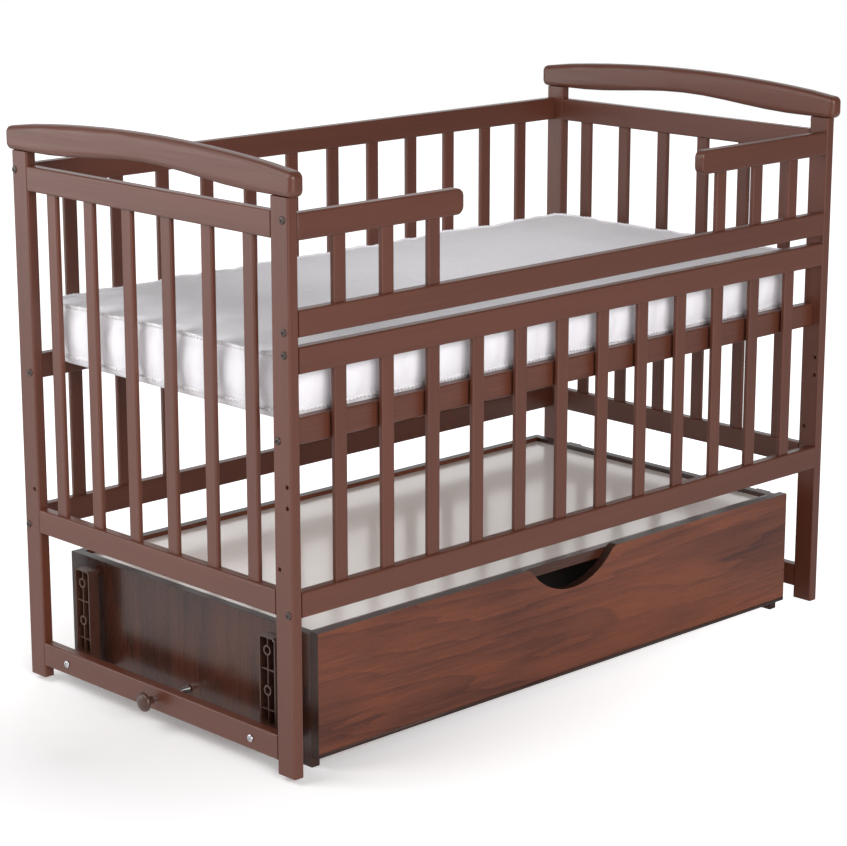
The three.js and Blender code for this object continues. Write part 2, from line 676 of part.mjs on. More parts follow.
const flareEnd = CABINET_X + LOCK_CLEAR;
const flareStart = flareEnd + LOCK_FLARE_L;
const neckStart = LENGTH / 2 + KNOB_STAND;
const headStart = neckStart + KNOB_NECK_L;
const headEnd = headStart + KNOB_HEAD_L;
const pinSeat = neckStart + KNOB_NECK_L - 3;
for (const [end, sx] of ENDS) {
  place(
    `lock_pin_${end}`,
    lathe([[0, flareEnd], [LOCK_FLARE_R, flareEnd], [LOCK_FLARE_R, flareEnd + 2], [LOCK_R, flareStart],
      [LOCK_R, pinSeat], [0, pinSeat]], sx),
    STEEL, 0, 0, LOCK_Z,
  );
  const bore = LOCK_R + GAP;
  const dome = Array.from({ length: 6 }, (_, i) => {
    const t = (i / 5) * (Math.PI / 2);
    return [KNOB_R * Math.cos(t), headStart + 4 + (KNOB_HEAD_L - 4) * Math.sin(t)];
  });
  dome[dome.length - 1][0] = 0;
  place(
    `lock_knob_${end}`,
    lathe([[0, pinSeat + GAP], [bore, pinSeat + GAP], [bore, neckStart], [KNOB_NECK_R, neckStart],
      [KNOB_NECK_R, headStart - 2], [KNOB_R - 2, headStart], [KNOB_R, headStart + 2], ...dome], sx),
    PLASTIC, 0, 0, LOCK_Z,
  );
}

export default crib;
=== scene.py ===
"""Looks of a swinging baby crib: stained timber, laminate cabinet, plastic arms, steel, foam mattress."""

import math

import bmesh
import bpy
from bpy.props import FloatProperty, FloatVectorProperty, IntProperty
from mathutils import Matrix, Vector, noise


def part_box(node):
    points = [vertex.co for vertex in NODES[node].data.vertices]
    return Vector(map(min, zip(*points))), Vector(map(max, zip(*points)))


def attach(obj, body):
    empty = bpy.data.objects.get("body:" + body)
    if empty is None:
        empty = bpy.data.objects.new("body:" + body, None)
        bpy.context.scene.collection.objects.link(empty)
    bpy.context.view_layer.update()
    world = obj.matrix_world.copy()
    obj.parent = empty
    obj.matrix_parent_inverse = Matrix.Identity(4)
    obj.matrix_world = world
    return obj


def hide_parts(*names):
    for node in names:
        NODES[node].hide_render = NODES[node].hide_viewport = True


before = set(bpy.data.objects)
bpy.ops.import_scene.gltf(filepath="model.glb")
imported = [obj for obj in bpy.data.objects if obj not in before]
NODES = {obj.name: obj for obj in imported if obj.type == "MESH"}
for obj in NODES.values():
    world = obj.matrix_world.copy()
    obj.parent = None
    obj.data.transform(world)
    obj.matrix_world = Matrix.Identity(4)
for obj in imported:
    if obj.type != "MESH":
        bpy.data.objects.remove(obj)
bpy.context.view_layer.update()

bl_info = {
    "name": "Baby crib finish",
    "version": (1, 0, 0),
    "blender": (4, 5, 0),
    "location": "3D View > Sidebar > Crib",
    "description": "Dresses the packed crib in its materials and adds its mattress and hardware",
    "category": "Object",
}

MM = 0.001
ENDS = (("left", -1), ("right", 1))
SIDES = ("front", "rear")
RAIL_HEIGHT = 40 * MM
# the part of a noise's range that a pattern uses
WIDE = {"From Min": 0.3, "From Max": 0.7}
NARROW = {"From Min": 0.35, "From Max": 0.65}
# edges sharper than so many degrees are kept crisp, or rounded
PACKED_EDGE, TURNED_EDGE, ROUNDED_EDGE = 40, 38, 50
WELD_REACH = 2e-5
# a face looks along an axis when its normal is within 60 degrees of it
FACING = 0.5
# how thick a seam's fin is for its height, and the radius of the thread over it
FIN_SLIMNESS = 0.45
THREAD_RADIUS = 0.95 * MM
CAMERA_PLACE = (-2.9867, -3.0594, 1.4660)
# name, place, what it is aimed at, width, height, and the property that holds its power
SOFTBOXES = (
    ("Key softbox", (-3.2, -7.4, 3.2), (0, 0, 0.5), 4.6, 3.4, "key"),
    ("Left softbox", (-2.6, 0.8, 2.4), (-0.4, 0, 0.6), 2.2, 1.6, "side"),
    ("Rear left softbox", (-3.6, 3.6, 1.0), (-0.4, 0, 0.6), 2.8, 1.8, "back"),
)


def linear(hex_colour):
    """An sRGB hex colour as linear red, green, blue and alpha."""
    parts = (int(hex_colour[i : i + 2], 16) / 255 for i in (1, 3, 5))
    return (*(c / 12.92 if c <= 0.04045 else ((c + 0.055) / 1.055) ** 2.4 for c in parts), 1.0)


def colour_prop(name, description, hex_colour):
    return FloatVectorProperty(
        name=name, description=description, size=4, min=0, max=1, subtype="COLOR", default=linear(hex_colour)
    )


def length_prop(name, description, millimetres):
    return FloatProperty(
        name=name, description=description, default=millimetres * MM, min=0, subtype="DISTANCE", unit="LENGTH"
    )


# ---------- what a user may change ----------


class CribFinishes(bpy.types.PropertyGroup):
    """Colours of the crib's materials."""

    stain_dark: colour_prop("Stain, dark grain", "Stained beech where the grain took more stain", "#512a1d")
    stain_light: colour_prop("Stain, light grain", "Stained beech where the grain took less stain", "#5d3223")
    walnut_dark: colour_prop("Walnut, dark", "Dark rings of the walnut print", "#3c180e")
    walnut_light: colour_prop("Walnut, light", "Light rings of the walnut print", "#733c24")
    # the cabinet sides' walnut is the same print in darker colours: painted shade where the crib shades the
    # sides
    side_dark: colour_prop("Side walnut, dark", "Dark rings of the walnut print, darkened on the cabinet sides as painted shade", "#21100b")
    side_light: colour_prop("Side walnut, light", "Light rings of the walnut print, darkened on the cabinet sides as painted shade", "#492619")
    edge_band: colour_prop("Edge band", "Plastic edging of the laminated boards", "#2a1813")
    white_board: colour_prop("White board", "Lacquered face of the thin fibreboard", "#efe9e6")
    drawer_board: colour_prop("Drawer board", "Melamine face of the drawer box", "#cfc4b8")
    birch: colour_prop("Birch", "Plywood slats of the bed base", "#d3b184")
    cover: colour_prop("Cover", "Knitted cover of the mattress", "#edebef")
    thread: colour_prop("Thread", "Overlock thread of the cover's seams", "#f6f4f2")
    plastic: colour_prop("Plastic", "Moulded arms, knobs and runners", "#3d241b")
    zinc: colour_prop("Zinc", "Plated pins and screws", "#c9cacc")
    bolt: colour_prop("Bolt", "Burnished heads of the frame bolts", "#5d5552")


class CribHardware(bpy.types.PropertyGroup):
    """Sizes of the bolts and screws."""

    bolt_radius: length_prop("Bolt head radius", "Domed head of a frame bolt", 5.8)
    bolt_height: length_prop("Bolt head height", "From the post to the top of the dome", 2.9)
    bolt_socket: length_prop("Bolt socket", "Across the flats of the hexagon socket", 4)
    recess_length: length_prop("Recess length", "Middle of a screw head to the tip of its cross", 3.6)
    recess_width: length_prop("Recess width", "Half the width of a bar of the cross", 0.85)


class CribMattress(bpy.types.PropertyGroup):
    """How the mattress cover is sewn and how full it is."""

    cell: length_prop("Cell", "Spacing of the cover's mesh before it is subdivided", 9)
    seam_drop: length_prop("Top seam", "Top seam below the foam's top", 2)
    hem: length_prop("Hem", "Bottom seam above the foam's underside", 17)
    most_swell: length_prop("Most swell", "How far a point of the cover may move", 8)
    pressure: FloatProperty(
        name="Pressure", description="Push of the foam against the cover", default=4, min=0
    )
    steps: IntProperty(name="Steps", description="Simulated frames", default=20, min=1, max=60)
    piping: length_prop("Seam fin", "Half the height of the fin of fabric along a seam", 2.6)
    stitch: length_prop("Stitch pitch", "One zigzag of the overlock thread", 7.5)


class CribStage(bpy.types.PropertyGroup):
    """Camera, floor and light."""

    azimuth: FloatProperty(
        name="Azimuth", default=-43.92, description="Degrees round the crib from its front"
    )
    pitch: FloatProperty(name="Pitch", default=14.16, description="Degrees that the camera looks down")
    lens: FloatProperty(name="Lens", default=110.28, description="Focal length in millimetres", min=1)
    floor_radius: FloatProperty(
        name="Floor radius", default=7, min=1, unit="LENGTH", description="Round floor"
    )
    key: FloatProperty(name="Key", default=590, min=0, unit="POWER", description="High softbox, front left")
    side: FloatProperty(name="Side", default=50, min=0, unit="POWER", description="High softbox, left")
    back: FloatProperty(name="Back", default=52, min=0, unit="POWER", description="Low softbox, rear left")
    room: FloatProperty(name="Room", default=0.215, min=0, description="Even light from the room's walls")
    backdrop: FloatProperty(name="Backdrop", default=1.1, min=0, description="Light from the lit wall behind")
    glow: FloatProperty(name="Glow", default=0.1, min=0, description="Light that the floor gives the crib")
    glow_far: FloatProperty(
        name="Glow, far", default=0.8, min=0, description="How the lit floor looks far away"
    )


# ---------- helpers for materials ----------


def add(tree, kind, inputs=None, **settings):
    """Adds a node with its settings. An input, by name or number, gets a value, or a link from a node's
    first output in use or from an output socket."""
    node = tree.nodes.new(kind)
    for key, value in settings.items():
        setattr(node, key, value)
    for key, value in (inputs or {}).items():
        in_use = [s for s in node.inputs if s.enabled]
        socket = node.inputs[key] if isinstance(key, int) else next(s for s in in_use if s.name == key)
        if isinstance(value, bpy.types.Node):
            value = next(s for s in value.outputs if s.enabled)
        if isinstance(value, bpy.types.NodeSocket):
            tree.links.new(value, socket)
        else:
            socket.default_value = value
    return node


def start_material(name):
    """A new material's node tree, and the piece's own coordinates in metres."""
    material = bpy.data.materials.new(name)
    material.use_nodes = True
    material.node_tree.nodes.clear()
    return material, material.node_tree, add(material.node_tree, "ShaderNodeTexCoord").outputs["Object"]


def cells(axis, along, across):
    """Factors that turn metres into pattern cells, `along` metres long on the grain's axis and `across`
    on the two others."""
    return tuple(1 / (along if a == axis else across) for a in "xyz")


# ---------- materials ----------


def stained_beech(axis, open_grain=False):
    """Beech, planed, stained dark brown and sprayed with satin lacquer: an even brown where fine straight
    grain and short dark flecks barely show, with a soft sheen along the rounded edges."""
    finish = bpy.context.scene.crib_finishes
    depth = 1.0 if open_grain else 0.45
    name = f"Stained beech, grain along {axis}"
    material, tree, place = start_material(name + ", open grain" if open_grain else name)
    lines = add(tree, "ShaderNodeVectorMath", {0: place, 1: cells(axis, 0.24, 0.0042)}, operation="MULTIPLY")
    grain = add(tree, "ShaderNodeTexNoise", {"Vector": lines, "Scale": 1.0, "Detail": 4.0, "Roughness": 0.6})
    board = add(tree, "ShaderNodeVectorMath", {0: place, 1: cells(axis, 0.7, 0.05)}, operation="MULTIPLY")
    tone = add(tree, "ShaderNodeTexNoise", {"Vector": board, "Scale": 1.0, "Detail": 2.0})
    # beech's flecks are 0.3 mm wide; here they are 1.4 mm, so that they show
    short = add(tree, "ShaderNodeVectorMath", {0: place, 1: cells(axis, 0.011, 0.0014)}, operation="MULTIPLY")
    fleck = add(tree, "ShaderNodeTexNoise", {"Vector": short, "Scale": 1.0, "Detail": 1.0})
    share = add(
        tree, "ShaderNodeMapRange",
        {"Value": grain, "From Min": 0.5 - 0.2 / depth, "From Max": 0.5 + 0.2 / depth},
    )
    stain = add(
        tree, "ShaderNodeMix",
        {"Factor": share, "A": finish.stain_dark, "B": finish.stain_light},
        data_type="RGBA",
    )
    shade = add(tree, "ShaderNodeMapRange", {"Value": tone, **WIDE, "To Min": 0.9, "To Max": 1.1})
    tinted = add(tree, "ShaderNodeVectorMath", {0: stain, "Scale": shade}, operation="SCALE")
    spots = add(
        tree, "ShaderNodeMapRange",
        {"Value": fleck, "From Min": 0.62, "From Max": 0.74, "To Min": 0.0, "To Max": 0.32 * depth},
    )
    colour = add(
        tree, "ShaderNodeMix", {"Factor": spots, "A": tinted, "B": linear("#3a1d12")}, data_type="RGBA"
    )
    gloss = add(tree, "ShaderNodeMapRange", {"Value": grain, **WIDE, "To Min": 0.42, "To Max": 0.33})
    pores = add(tree, "ShaderNodeBump", {"Height": grain, "Distance": 0.00012 * depth, "Strength": 0.5})
    # the sprayed lacquer's slight orange peel, with 4 mm waves
    peel = add(tree, "ShaderNodeTexNoise", {"Vector": place, "Scale": 250.0, "Detail": 1.0})
    coat = add(
        tree, "ShaderNodeBump", {"Height": peel, "Distance": 0.00003, "Strength": 0.6, "Normal": pores}
    )
    shader = add(tree, "ShaderNodeBsdfPrincipled", {
        "Base Color": colour, "Roughness": gloss, "Normal": coat, "IOR": 1.5, "Specular IOR Level": 0.5,
    })
    add(tree, "ShaderNodeOutputMaterial", {"Surface": shader})
    return material


def walnut_laminate(name, axis, across, ring, pore, dark, light):
    """Chipboard faced with a glossy printed walnut foil: red-brown cathedral rings and fine dark pores
    under a clear film that mirrors the light."""
    material, tree, place = start_material(name)
    trunk = add(tree, "ShaderNodeVectorMath", {0: place, 1: cells(axis, 0.8, 0.09)}, operation="MULTIPLY")
    warp = add(tree, "ShaderNodeTexNoise", {"Vector": trunk, "Scale": 1.0, "Detail": 1.5, "Roughness": 0.4})
    waver = add(tree, "ShaderNodeVectorMath", {0: place, 1: cells(axis, 0.16, 0.016)}, operation="MULTIPLY")
    ripple = add(tree, "ShaderNodeTexNoise", {"Vector": waver, "Scale": 1.0, "Detail": 2.0})
    parts = add(tree, "ShaderNodeSeparateXYZ", {0: place})
    height = parts.outputs["xyz".index(across)]
    # the print's year rings are `ring` apart, and bend into arches where the trunk's surface was cut
    level = add(tree, "ShaderNodeMath", {0: height, 1: 1 / ring}, operation="MULTIPLY")
    bend = add(tree, "ShaderNodeMath", {0: warp, 1: 6.5, 2: level}, operation="MULTIPLY_ADD")
    ruffle = add(tree, "ShaderNodeMath", {0: ripple, 1: 0.9, 2: bend}, operation="MULTIPLY_ADD")
    saw = add(tree, "ShaderNodeMath", {0: ruffle}, operation="FRACT")
    year = add(tree, "ShaderNodeMath", {0: saw, 1: 2.4}, operation="POWER")
    # pores are 0.2 mm wide in the print; here they are 1.3 mm
    fine = add(tree, "ShaderNodeVectorMath", {0: place, 1: cells(axis, 0.06, 0.0013)}, operation="MULTIPLY")
    pores = add(tree, "ShaderNodeTexNoise", {"Vector": fine, "Scale": 1.0, "Detail": 2.0})
    slow = add(tree, "ShaderNodeVectorMath", {0: place, 1: cells(axis, 0.4, 0.12)}, operation="MULTIPLY")
    tone = add(tree, "ShaderNodeTexNoise", {"Vector": slow, "Scale": 1.0, "Detail": 2.0})
    thread = add(tree, "ShaderNodeVectorMath", {0: place, 1: cells(axis, 0.3, 0.0045)}, operation="MULTIPLY")
    streak = add(
        tree, "ShaderNodeTexNoise", {"Vector": thread, "Scale": 1.0, "Detail": 3.0, "Roughness": 0.65}
    )
    base = add(tree, "ShaderNodeMapRange", {"Value": year, "To Min": 0.68, "To Max": 0.32})
    drawn = add(
        tree, "ShaderNodeMapRange",
        {"Value": streak, **WIDE, "To Min": -pore * 0.3, "To Max": pore * 0.3},
    )
    arches = add(tree, "ShaderNodeMath", {0: base, 1: drawn}, operation="ADD")
    cloud = add(tree, "ShaderNodeMapRange", {"Value": tone, **WIDE, "To Min": -0.42, "To Max": 0.42})
    total = add(tree, "ShaderNodeMath", {0: arches, 1: cloud}, operation="ADD", use_clamp=True)
    print_colour = add(tree, "ShaderNodeMix", {"Factor": total, "A": dark, "B": light}, data_type="RGBA")
    lines = add(
        tree, "ShaderNodeMapRange",
        {"Value": pores, "From Min": 0.48, "From Max": 0.75, "To Min": 0.0, "To Max": pore},
    )
    colour = add(tree, "ShaderNodeMix", {"Factor": lines, "A": print_colour, "B": dark}, data_type="RGBA")
    gloss = add(tree, "ShaderNodeMapRange", {"Value": pores, **WIDE, "To Min": 0.24, "To Max": 0.33})
    relief = add(tree, "ShaderNodeBump", {"Height": pores, "Distance": 0.00004, "Strength": 0.4})
    shader = add(tree, "ShaderNodeBsdfPrincipled", {
        "Base Color": colour, "Roughness": gloss, "Normal": relief, "IOR": 1.5, "Specular IOR Level": 0.3,
        "Coat Weight": 0.2, "Coat Roughness": 0.14,
    })
    add(tree, "ShaderNodeOutputMaterial", {"Surface": shader})
    return material


def edge_banding():
    """ABS edging, ironed on to the boards: near-black brown with a faint lengthwise pull."""
    finish = bpy.context.scene.crib_finishes
    material, tree, place = start_material("ABS edge banding")
    strip = add(tree, "ShaderNodeVectorMath", {0: place, 1: (11.0, 660.0, 11.0)}, operation="MULTIPLY")
    pull = add(tree, "ShaderNodeTexNoise", {"Vector": strip, "Scale": 1.0, "Detail": 2.0})
    share = add(tree, "ShaderNodeMapRange", {"Value": pull, **NARROW})
    colour = add(
        tree, "ShaderNodeMix",
        {"Factor": share, "A": finish.edge_band, "B": linear("#38241d")},
        data_type="RGBA",
    )
    gloss = add(tree, "ShaderNodeMapRange", {"Value": pull, "To Min": 0.26, "To Max": 0.38})
    relief = add(tree, "ShaderNodeBump", {"Height": pull, "Distance": 0.00003, "Strength": 0.5})
    shader = add(tree, "ShaderNodeBsdfPrincipled", {
        "Base Color": colour, "Roughness": gloss, "Normal": relief, "IOR": 1.53, "Specular IOR Level": 0.25,
    })
    add(tree, "ShaderNodeOutputMaterial", {"Surface": shader})
    return material


def lacquered_board(name, face, gloss, coat):
    """Pressed board with a pale lacquered or melamine face: smooth, with the faint mottle of its fibres."""
    material, tree, place = start_material(name)
    fibres = add(
        tree, "ShaderNodeTexNoise", {"Vector": place, "Scale": 250.0, "Detail": 3.0, "Roughness": 0.6}
    )
    cloud = add(tree, "ShaderNodeTexNoise", {"Vector": place, "Scale": 6.5, "Detail": 2.0})
    patch = add(tree, "ShaderNodeMapRange", {"Value": cloud, **NARROW, "To Max": 0.06})
    patchy = add(
        tree, "ShaderNodeMix", {"Factor": patch, "A": face, "B": linear("#a9a09c")}, data_type="RGBA"
    )
    speck = add(
        tree, "ShaderNodeMapRange", {"Value": fibres, "From Min": 0.45, "From Max": 0.75, "To Max": 0.03}
    )
    colour = add(
        tree, "ShaderNodeMix", {"Factor": speck, "A": patchy, "B": linear("#8d837e")}, data_type="RGBA"
    )
    rough = add(tree, "ShaderNodeMapRange", {"Value": fibres, "To Min": gloss - 0.04, "To Max": gloss + 0.06})
    relief = add(tree, "ShaderNodeBump", {"Height": fibres, "Distance": 0.00001, "Strength": 0.3})
    shader = add(tree, "ShaderNodeBsdfPrincipled", {
        "Base Color": colour, "Roughness": rough, "Normal": relief, "IOR": 1.5, "Coat Weight": coat,
        "Coat Roughness": 0.12,
    })
    add(tree, "ShaderNodeOutputMaterial", {"Surface": shader})
    return material


def birch_plywood():
    """Birch plywood, sanded and left raw: pale straw colour with soft long grain."""
    finish = bpy.context.scene.crib_finishes
    material, tree, place = start_material("Birch plywood")
    lines = add(tree, "ShaderNodeVectorMath", {0: place, 1: cells("y", 0.2, 0.004)}, operation="MULTIPLY")
    grain = add(tree, "ShaderNodeTexNoise", {"Vector": lines, "Scale": 1.0, "Detail": 4.0, "Roughness": 0.6})
    board = add(tree, "ShaderNodeVectorMath", {0: place, 1: cells("y", 0.5, 0.03)}, operation="MULTIPLY")
    tone = add(tree, "ShaderNodeTexNoise", {"Vector": board, "Scale": 1.0, "Detail": 2.0})
    share = add(
        tree, "ShaderNodeMapRange", {"Value": grain, "From Min": 0.35, "From Max": 0.7, "To Max": 0.45}
    )
    streaked = add(
        tree, "ShaderNodeMix", {"Factor": share, "A": finish.birch, "B": linear("#b08c5c")}, data_type="RGBA"
    )
    deep = add(tree, "ShaderNodeMapRange", {"Value": tone, "From Min": 0.4, "From Max": 0.7, "To Max": 0.3})
    colour = add(
        tree, "ShaderNodeMix", {"Factor": deep, "A": streaked, "B": linear("#c29c68")}, data_type="RGBA"
    )
    rough = add(tree, "ShaderNodeMapRange", {"Value": grain, "To Min": 0.58, "To Max": 0.75})
    relief = add(tree, "ShaderNodeBump", {"Height": grain, "Distance": 0.0001, "Strength": 0.6})
    shader = add(tree, "ShaderNodeBsdfPrincipled", {
        "Base Color": colour, "Roughness": rough, "Normal": relief, "IOR": 1.5, "Specular IOR Level": 0.3,
    })
    add(tree, "ShaderNodeOutputMaterial", {"Surface": shader})
    return material


def knitted_cover():
    """Knitted polyester cover, brushed: white with a soft sheen at grazing angles and rows of small loops.
    A loop is 1 mm wide; here it is 1.8 mm, so that it shows."""
    finish = bpy.context.scene.crib_finishes
    material, tree, place = start_material("Knitted polyester cover")
    wave = {"Vector": place, "Scale": 1 / (6.5 * 0.0018), "Distortion": 0.6, "Detail": 1.0}
    rows = add(tree, "ShaderNodeTexWave", wave, bands_direction="X")
    wales = add(tree, "ShaderNodeTexWave", wave, bands_direction="DIAGONAL")
    loops = add(tree, "ShaderNodeMath", {0: rows.outputs[1], 1: wales.outputs[1]}, operation="MULTIPLY")
    cloud = add(tree, "ShaderNodeTexNoise", {"Vector": place, "Scale": 11.0, "Detail": 2.0})
    worn = add(tree, "ShaderNodeMapRange", {"Value": cloud, **NARROW, "To Max": 0.1})
    soft = add(
        tree, "ShaderNodeMix", {"Factor": worn, "A": finish.cover, "B": linear("#cfccd4")}, data_type="RGBA"
    )
    # the gaps between the loops are darkened towards grey: painted shade in the knit's hollows
    painted_shade_gaps = add(tree, "ShaderNodeMapRange", {"Value": loops, "From Max": 0.5, "To Min": 0.06, "To Max": 0.0})
    colour = add(tree, "ShaderNodeMix", {"Factor": painted_shade_gaps, "A": soft, "B": linear("#aaa6b0")}, data_type="RGBA")
    rough = add(tree, "ShaderNodeMapRange", {"Value": loops, "To Min": 0.95, "To Max": 0.82})
    relief = add(tree, "ShaderNodeBump", {"Height": loops, "Distance": 0.0003, "Strength": 0.2})
    shader = add(tree, "ShaderNodeBsdfPrincipled", {
        "Base Color": colour, "Roughness": rough, "Normal": relief, "IOR": 1.45, "Specular IOR Level": 0.25,
        "Sheen Weight": 0.14, "Sheen Roughness": 0.5,
    })
    add(tree, "ShaderNodeOutputMaterial", {"Surface": shader})
    return material


def overlock_thread():
    """Spun polyester thread of the seams: bright white, with the twist of its plies."""
    finish = bpy.context.scene.crib_finishes
    material, tree, place = start_material("Spun polyester thread")
    twist = add(
        tree, "ShaderNodeTexWave", {"Vector": place, "Scale": 150.0, "Distortion": 1.0},
        bands_direction="DIAGONAL",
    ).outputs[1]
    # the grooves between the twisted plies are darkened towards grey: painted shade
    share = add(tree, "ShaderNodeMapRange", {"Value": twist, "To Min": 0.25, "To Max": 0.0})
    colour = add(
        tree, "ShaderNodeMix", {"Factor": share, "A": finish.thread, "B": linear("#bdb9bf")}, data_type="RGBA"
    )
    rough = add(tree, "ShaderNodeMapRange", {"Value": twist, "To Min": 0.9, "To Max": 0.7})
    relief = add(tree, "ShaderNodeBump", {"Height": twist, "Distance": 0.0003, "Strength": 0.5})
    shader = add(tree, "ShaderNodeBsdfPrincipled", {
        "Base Color": colour, "Roughness": rough, "Normal": relief, "IOR": 1.45, "Sheen Weight": 0.3,
    })
    add(tree, "ShaderNodeOutputMaterial", {"Surface": shader})
    return material


def moulded_plastic():
    """Polypropylene, injection moulded in a spark-eroded tool: dark brown, even, with a fine matt grain
    that softens its highlights. The grain is 0.2 mm; here it is 0.9 mm, so that it shows."""
    finish = bpy.context.scene.crib_finishes
    material, tree, place = start_material("Moulded polypropylene")
    grain = add(tree, "ShaderNodeTexNoise", {"Vector": place, "Scale": 1100.0, "Detail": 2.0})
    flow = add(tree, "ShaderNodeTexNoise", {"Vector": place, "Scale": 33.0, "Detail": 2.0})
    share = add(tree, "ShaderNodeMapRange", {"Value": flow, **NARROW, "To Max": 0.25})
    colour = add(
        tree, "ShaderNodeMix",
        {"Factor": share, "A": finish.plastic, "B": linear("#563528")},
        data_type="RGBA",
    )
    rough = add(tree, "ShaderNodeMapRange", {"Value": flow, "To Min": 0.26, "To Max": 0.46})
    relief = add(tree, "ShaderNodeBump", {"Height": grain, "Distance": 0.00005, "Strength": 0.5})
    shader = add(tree, "ShaderNodeBsdfPrincipled", {
        "Base Color": colour, "Roughness": rough, "Normal": relief, "IOR": 1.49,
    })
    add(tree, "ShaderNodeOutputMaterial", {"Surface": shader})
    return material


def turned_steel(name, face, low, high):
    """Turned steel with a thin plated or burnished skin: metal with fine turning marks across its length."""
    material, tree, place = start_material(name)
    rings = add(tree, "ShaderNodeVectorMath", {0: place, 1: cells("x", 0.0009, 0.006)}, operation="MULTIPLY")
    marks = add(tree, "ShaderNodeTexNoise", {"Vector": rings, "Scale": 1.0, "Detail": 2.0})
    cloud = add(tree, "ShaderNodeTexNoise", {"Vector": place, "Scale": 250.0, "Detail": 2.0})
    share = add(tree, "ShaderNodeMapRange", {"Value": cloud, **NARROW})
    dull = tuple(0.72 * c for c in face[:3]) + (1.0,)
    colour = add(tree, "ShaderNodeMix", {"Factor": share, "A": face, "B": dull}, data_type="RGBA")
    rough = add(tree, "ShaderNodeMapRange", {"Value": marks, **WIDE, "To Min": low, "To Max": high})
    relief = add(tree, "ShaderNodeBump", {"Height": marks, "Distance": 0.00004, "Strength": 0.4})
    shader = add(tree, "ShaderNodeBsdfPrincipled", {
        "Base Color": colour, "Roughness": rough, "Normal": relief, "Metallic": 1.0,
    })
    add(tree, "ShaderNodeOutputMaterial", {"Surface": shader})
    return material


def cached(build, *args):
    """The material that build(*args) makes, made once."""
    key = build.__name__ + repr(args)
    for material in bpy.data.materials:
        if material.get("crib_key") == key:
            return material
    material = build(*args)
    material["crib_key"] = key
    return material


def level_walnut(finish):
    return cached(
        walnut_laminate, "Walnut laminate", "x", "z", 0.034, 0.6,
        tuple(finish.walnut_dark), tuple(finish.walnut_light),
    )


def white_board(finish):
    return cached(lacquered_board, "White lacquered fibreboard", tuple(finish.white_board), 0.24, 0.6)


def zinc_steel(finish):
    return cached(turned_steel, "Zinc-plated steel", tuple(finish.zinc), 0.2, 0.34)


# ---------- helpers for meshes ----------


def split_edges(obj, degrees):
    split = obj.modifiers.new("Edges", "EDGE_SPLIT")
    split.split_angle = math.radians(degrees)


def smooth_over(obj, bevel):
    """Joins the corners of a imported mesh, rounds its sharp edges by `bevel` metres and shades what is
    flat as flat and what is rounded as rounded."""
    mesh = obj.data
    if "custom_normal" in mesh.attributes:
        mesh.attributes.remove(mesh.attributes["custom_normal"])
    mesh.polygons.foreach_set("use_smooth", [True] * len(mesh.polygons))
    for edge in mesh.edges:
        edge.use_edge_sharp = False
    weld = obj.modifiers.new("Weld", "WELD")
    weld.merge_threshold = WELD_REACH
    if bevel:
        rounding = obj.modifiers.new("Rounding", "BEVEL")
        rounding.width = bevel
        rounding.segments = 2
        rounding.limit_method = "ANGLE"
        rounding.angle_limit = math.radians(ROUNDED_EDGE)
        rounding.use_clamp_overlap = True
    else:
        split_edges(obj, PACKED_EDGE)
    weighted = obj.modifiers.new("Flats", "WEIGHTED_NORMAL")
    weighted.weight = 60
    weighted.keep_sharp = True


def dress(name, *materials, choose=None, bevel=0.0):
    """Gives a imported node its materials. choose(centre, normal) says which one a face takes."""
    obj = NODES[name]
    obj.data.materials.clear()
    for material in materials:
        obj.data.materials.append(material)
    index = [choose(p.center, p.normal) if choose else 0 for p in obj.data.polygons]
    obj.data.polygons.foreach_set("material_index", index)
    smooth_over(obj, bevel)


def faces_off(axis):
    """Gives a board's second material to the faces that do not look along the axis: its edges."""
    return lambda centre, normal: int(abs(normal["xyz".index(axis)]) < FACING)


def new_piece(name, vertices, faces, material, body, slot):
    """A smooth mesh with one material, carried by a body. Its slot argument is not used."""
    mesh = bpy.data.meshes.new(name)
    mesh.from_pydata([tuple(v) for v in vertices], [], faces)
    mesh.validate()
    mesh.polygons.foreach_set("use_smooth", [True] * len(mesh.polygons))
    mesh.materials.append(material)
    obj = bpy.data.objects.new(name, mesh)
    bpy.context.scene.collection.objects.link(obj)
    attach(obj, body)
    return obj


def turned(rings, sides, start, sx):
    """Vertices and faces of a closed turned piece along X. rings holds (radius by angle, height)."""
    vertices, faces = [], []
    for radius, height in rings:
        for i in range(sides):
            t = 2 * math.pi * i / sides
            r = radius(t) if callable(radius) else radius
            across, up = sx * r * math.cos(t), r * math.sin(t)
            vertices.append((start[0] + sx * height, start[1] + across, start[2] + up))
    for k in range(len(rings) - 1):
        for i in range(sides):
            j = (i + 1) % sides
            faces.append((k * sides + i, k * sides + j, (k + 1) * sides + j, (k + 1) * sides + i))
    faces.append(tuple(range(sides - 1, -1, -1)))
    faces.append(tuple((len(rings) - 1) * sides + i for i in range(sides)))
    return vertices, faces


def tube(points, radius, sides=6, flatten=1.0):
    """Vertices and faces of a closed loop of round cord through points. flatten scales it upright."""
    count = len(points)
    vertices, faces = [], []
    for i, p in enumerate(points):
        ahead = (points[(i + 1) % count] - points[i - 1]).normalized()
        side = ahead.cross(Vector((0, 0, 1))).normalized()
        up = side.cross(ahead)
        for k in range(sides):
            t = 2 * math.pi * k / sides
            vertices.append(p + side * (radius * math.cos(t)) + up * (radius * flatten * math.sin(t)))
    for i in range(count):
        n = (i + 1) % count
        for k in range(sides):
            m = (k + 1) % sides
            faces.append((i * sides + k, i * sides + m, n * sides + m, n * sides + k))
    return vertices, faces


# ---------- the pieces ----------


